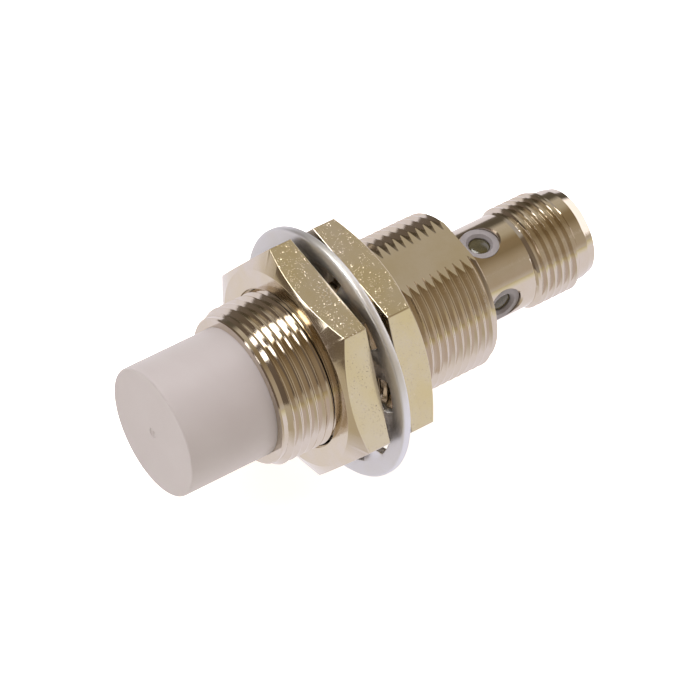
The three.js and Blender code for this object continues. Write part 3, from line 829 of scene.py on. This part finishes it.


def addCard(tree, direction, behind, card):  # lays one soft-edged rectangle over the sky
    turn, rise = math.radians(card["turn"]), math.radians(card["rise"])
    centre = Vector((math.sin(turn) * math.cos(rise), -math.cos(turn) * math.cos(rise), math.sin(rise)))
    side = centre.cross(Vector((0, 0, 1))).normalized()
    up = side.cross(centre)
    cover = addNode(tree, "ShaderNodeVectorMath", {0: direction, 1: centre},
                    operation="DOT_PRODUCT").outputs["Value"]
    cover = addNode(tree, "ShaderNodeMath", {0: cover, 1: 0.0}, operation="GREATER_THAN").outputs[0]
    for axis, degrees in ((side, card["wide"]), (up, card["tall"])):
        reach = math.sin(math.radians(degrees / 2))
        along = addNode(tree, "ShaderNodeVectorMath", {0: direction, 1: axis}, operation="DOT_PRODUCT")
        off = addNode(tree, "ShaderNodeMath", {0: along.outputs["Value"]}, operation="ABSOLUTE")
        edge = addNode(tree, "ShaderNodeMapRange",
                       {"Value": off.outputs[0], "From Min": reach - card["soft"],
                        "From Max": reach + card["soft"], "To Min": 1.0, "To Max": 0.0})
        cover = addNode(tree, "ShaderNodeMath", {0: cover, 1: edge.outputs[0]},
                        operation="MULTIPLY").outputs[0]
    return addNode(tree, "ShaderNodeMix", {0: cover, 6: behind, 7: card["tone"]},
                   data_type="RGBA").outputs[2]


def buildSky():
    world = bpy.data.worlds.new("studioSky")
    scene.world = world
    world.use_nodes = True
    tree = world.node_tree
    tree.nodes.clear()
    direction = addNode(tree, "ShaderNodeTexCoord").outputs["Generated"]
    x, y, z = addNode(tree, "ShaderNodeSeparateXYZ", {0: direction}).outputs
    roll = addNode(tree, "ShaderNodeMath", {0: x, 1: z}, operation="ARCTAN2")
    share = addNode(tree, "ShaderNodeMapRange", {"Value": roll.outputs[0], "From Min": -math.pi,
                                                 "From Max": math.pi})
    walls = addNode(tree, "ShaderNodeValToRGB", {0: share.outputs[0]},
                    [((angle + 180) / 360, tone) for angle, tone in room["rollTones"]])
    far = addNode(tree, "ShaderNodeMapRange", {"Value": y, "From Min": room["farStart"],
                                               "From Max": room["farEnd"]})
    tones = addNode(tree, "ShaderNodeMix", {0: far.outputs[0], 6: walls.outputs[0], 7: room["farTone"]},
                    data_type="RGBA").outputs[2]
    # the pale table, which reaches higher on the +X side
    right = addNode(tree, "ShaderNodeMath", {0: x, 1: 0.0}, operation="MAXIMUM")
    spread = addNode(tree, "ShaderNodeCombineXYZ", {0: right.outputs[0], 1: y, 2: z})
    under = addNode(tree, "ShaderNodeVectorMath", {0: spread.outputs[0], 1: room["tableTilt"]},
                    operation="DOT_PRODUCT")
    depth = addNode(tree, "ShaderNodeMath", {0: under.outputs["Value"], 1: room["tableEdge"]},
                    operation="SUBTRACT")
    left = addNode(tree, "ShaderNodeMath", {0: x, 1: 0.0}, operation="MINIMUM")  # no warm rim on -X
    level = addNode(tree, "ShaderNodeMath", {0: left.outputs[0], 1: -1.0, 2: depth.outputs[0]},
                    operation="MULTIPLY_ADD")
    table = addNode(tree, "ShaderNodeValToRGB", {0: level.outputs[0]}, room["tableTones"])
    # the front part of the table goes darker: painted shadow of the object, as the metal mirrors it
    near = addNode(tree, "ShaderNodeMapRange", {"Value": y, "From Min": room["nearStart"],
                                                "From Max": room["nearEnd"]})
    top = addNode(tree, "ShaderNodeMix", {0: near.outputs[0], 6: table.outputs[0], 7: room["nearShadowTone"]},
                  data_type="RGBA")
    below = addNode(tree, "ShaderNodeMapRange", {"Value": depth.outputs[0],
                                                 "From Min": -room["edgeBlur"],
                                                 "From Max": room["edgeBlur"]})
    tones = addNode(tree, "ShaderNodeMix", {0: below.outputs[0], 6: tones, 7: top.outputs[2]},
                    data_type="RGBA").outputs[2]
    for card in skyCards:
        tones = addCard(tree, direction, tones, card)
    sky = addNode(tree, "ShaderNodeBackground", {"Color": tones, "Strength": 1.0})
    out = addNode(tree, "ShaderNodeOutputWorld")
    tree.links.new(sky.outputs[0], out.inputs["Surface"])


def buildFloor():
    bm = bmesh.new()
    bmesh.ops.create_grid(bm, x_segments=8, y_segments=8, size=studio["floorSize"] / 2)
    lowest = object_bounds()[0].z - 0.00005  # a hair under the object
    for vert in bm.verts:
        vert.co += Vector((0, studio["middle"][1], lowest))
    mesh = bpy.data.meshes.new("paleFloor")
    bm.to_mesh(mesh)
    bm.free()
    floor = bpy.data.objects.new("paleFloor", mesh)
    scene.collection.objects.link(floor)
    floor.visible_glossy = False  # metal sees the studio's own sky, so its tones hold from every side
    floor.visible_shadow = False
    # cast acrylic lit from under it: an even pale glow, so shadows on it stay faint
    material, tree, shader, inMm = startMaterial("litAcrylicTable")
    fibre = addNode(tree, "ShaderNodeTexNoise", {"Vector": inMm, "Scale": 0.6, "Detail": 6.0})
    blend = addNode(tree, "ShaderNodeMapRange", {"Value": fibre.outputs["Fac"]})
    tint = addNode(tree, "ShaderNodeMix", {0: blend.outputs[0], 6: hexLinear(studio["floorTone"]),
                                           7: hexLinear(studio["floorMottle"])}, data_type="RGBA")
    tree.links.new(tint.outputs[2], shader.inputs["Base Color"])
    shader.inputs["Roughness"].default_value = 0.8
    shader.inputs["Emission Color"].default_value = hexLinear(studio["glowTone"])
    shader.inputs["Emission Strength"].default_value = studio["floorGlow"]
    mesh.materials.append(material)


def buildStudio():
    buildFloor()
    light = bpy.data.lights.new("keyLight", "AREA")
    light.size = studio["keySize"]
    light.energy = studio["keyPower"]
    light.color = hexLinear(studio["keyTone"])[:3]
    lamp = bpy.data.objects.new("keyLight", light)
    lamp.location = studio["keySpot"]
    lamp.rotation_euler = (lamp.location - Vector(studio["middle"])).to_track_quat("Z", "Y").to_euler()
    lamp.visible_glossy = False  # it lights the plastic and the floor; the sky makes the metal's tones
    scene.collection.objects.link(lamp)

    camera = bpy.data.cameras.new("mainCamera")
    camera.lens = studio["lens"]
    camera.sensor_width = 36
    camera.clip_start = 0.01
    camera.clip_end = 10
    eye = bpy.data.objects.new("mainCamera", camera)
    eye.location = studio["cameraSpot"]
    eye.rotation_euler = Euler([math.radians(angle) for angle in studio["cameraTurn"]])
    scene.collection.objects.link(eye)
    scene.camera = eye


buildSky()
buildStudio()
print("studio made")
